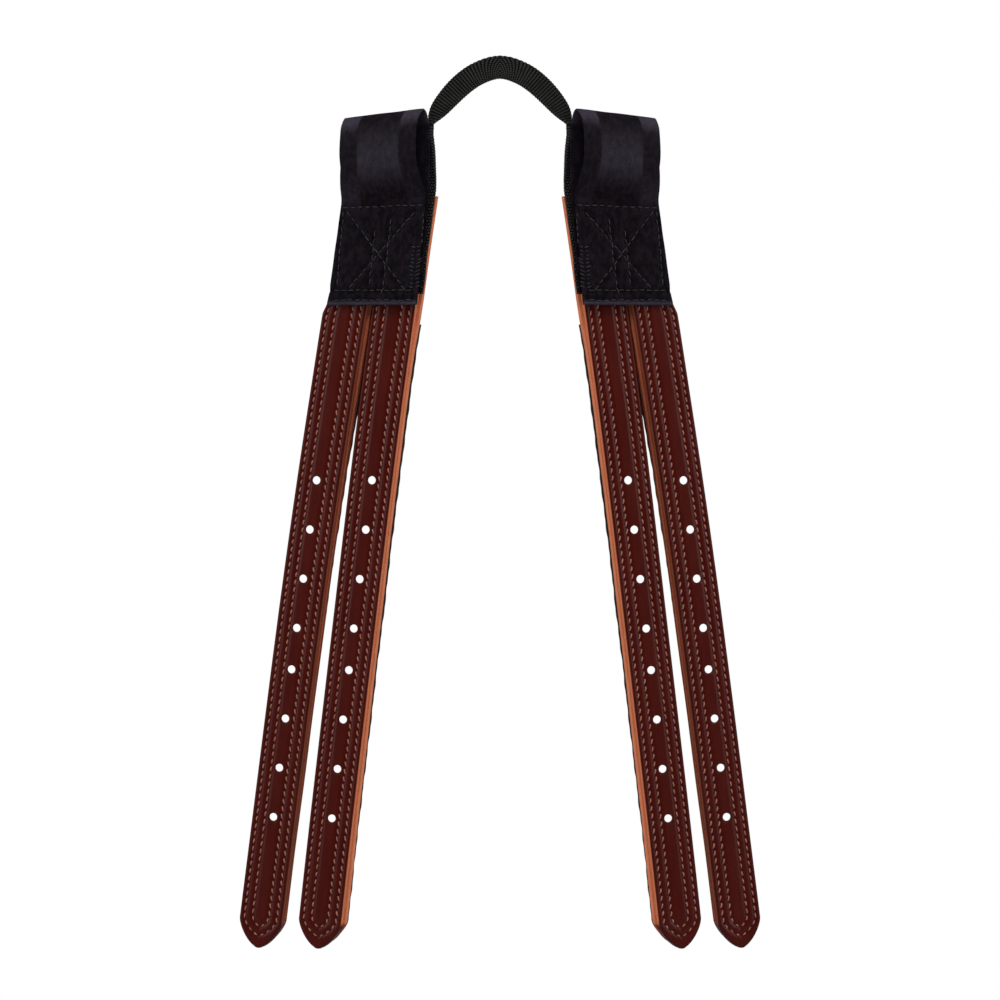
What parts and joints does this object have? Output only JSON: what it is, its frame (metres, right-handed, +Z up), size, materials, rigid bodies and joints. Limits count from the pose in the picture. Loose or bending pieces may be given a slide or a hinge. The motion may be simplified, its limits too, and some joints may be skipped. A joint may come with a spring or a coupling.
{
  "type": "saddle girth billet pair",
  "caption": "Pair of twin leather girth billets with punched holes, each stitched into a webbing loop and joined by a ribbed strap.",
  "frame": {"origin": "middle of the connecting strap at the top of its arch, where the pair hangs", "axes": "+Z up, -Y towards the front (the burgundy faces), +X to the viewer's right; the two units mirror each other in X"},
  "size_m": [0.3046, 0.063, 0.5192],
  "materials": {
    "burgundy_leather": "smooth oxblood bridle leather with a soft sheen",
    "tan_leather": "raw tan edge and flesh side",
    "nylon_backing": "plain black woven nylon",
    "ribbed_webbing": "heavy black webbing with crosswise ribs",
    "satin_webbing": "smooth black satin webbing with lighter bands",
    "billet_thread": "waxed dusty pink thread",
    "patch_thread": "dark grey thread"
  },
  "bodies": {
    "connecting_strap": {"connecting_strap": "ribbed_webbing"},
    "left_unit": {"left_strap_tail": "ribbed_webbing", "left_loop_webbing": "satin_webbing", "left_box_stitching": "patch_thread", "left_outer_billet_head_face": "burgundy_leather", "left_outer_billet_head_back": "tan_leather", "left_inner_billet_head_face": "burgundy_leather", "left_inner_billet_head_back": "tan_leather"},
    "left_outer_billet": {"left_outer_billet_back_leather": "tan_leather", "left_outer_billet_nylon_backing": "nylon_backing", "left_outer_billet_edge_seam": "billet_thread", "left_outer_billet_inner_seam": "billet_thread", "left_outer_billet_face_leather": "burgundy_leather"},
    "left_inner_billet": {"left_inner_billet_back_leather": "tan_leather", "left_inner_billet_nylon_backing": "nylon_backing", "left_inner_billet_edge_seam": "billet_thread", "left_inner_billet_inner_seam": "billet_thread", "left_inner_billet_face_leather": "burgundy_leather"},
    "right_unit": {"right_strap_tail": "ribbed_webbing", "right_loop_webbing": "satin_webbing", "right_box_stitching": "patch_thread", "right_outer_billet_head_face": "burgundy_leather", "right_outer_billet_head_back": "tan_leather", "right_inner_billet_head_face": "burgundy_leather", "right_inner_billet_head_back": "tan_leather"},
    "right_outer_billet": {"right_outer_billet_back_leather": "tan_leather", "right_outer_billet_nylon_backing": "nylon_backing", "right_outer_billet_edge_seam": "billet_thread", "right_outer_billet_inner_seam": "billet_thread", "right_outer_billet_face_leather": "burgundy_leather"},
    "right_inner_billet": {"right_inner_billet_back_leather": "tan_leather", "right_inner_billet_nylon_backing": "nylon_backing", "right_inner_billet_edge_seam": "billet_thread", "right_inner_billet_inner_seam": "billet_thread", "right_inner_billet_face_leather": "burgundy_leather"}
  },
  "joints": [
    {"name": "left_splay", "type": "hinge", "parent": "connecting_strap", "child": "left_unit", "pos_m": [-0.0385, 0, -0.032], "axis": [0, 1, 0], "range_deg": [-8, 45], "stiffness_Nm_per_rad": 1, "springref_deg": 4.93},
    {"name": "right_splay", "type": "hinge", "parent": "connecting_strap", "child": "right_unit", "pos_m": [0.0385, 0, -0.032], "axis": [0, -1, 0], "range_deg": [-8, 45], "stiffness_Nm_per_rad": 1, "springref_deg": 4.93},
    {"name": "left_outer_flex", "type": "hinge", "parent": "left_unit", "child": "left_outer_billet", "pos_m": [-0.08942, 0.01362, -0.1434], "axis": [0.9397, -0.342, 0], "range_deg": [-75, 75], "stiffness_Nm_per_rad": 0.05},
    {"name": "left_inner_flex", "type": "hinge", "parent": "left_unit", "child": "left_inner_billet", "pos_m": [-0.06067, 0.00603, -0.1434], "axis": [0.9397, -0.342, 0], "range_deg": [-75, 75], "stiffness_Nm_per_rad": 0.05},
    {"name": "right_outer_flex", "type": "hinge", "parent": "right_unit", "child": "right_outer_billet", "pos_m": [0.08942, 0.01362, -0.1434], "axis": [0.9397, 0.342, 0], "range_deg": [-75, 75], "stiffness_Nm_per_rad": 0.05},
    {"name": "right_inner_flex", "type": "hinge", "parent": "right_unit", "child": "right_inner_billet", "pos_m": [0.06067, 0.00603, -0.1434], "axis": [0.9397, 0.342, 0], "range_deg": [-75, 75], "stiffness_Nm_per_rad": 0.05}
  ]
}
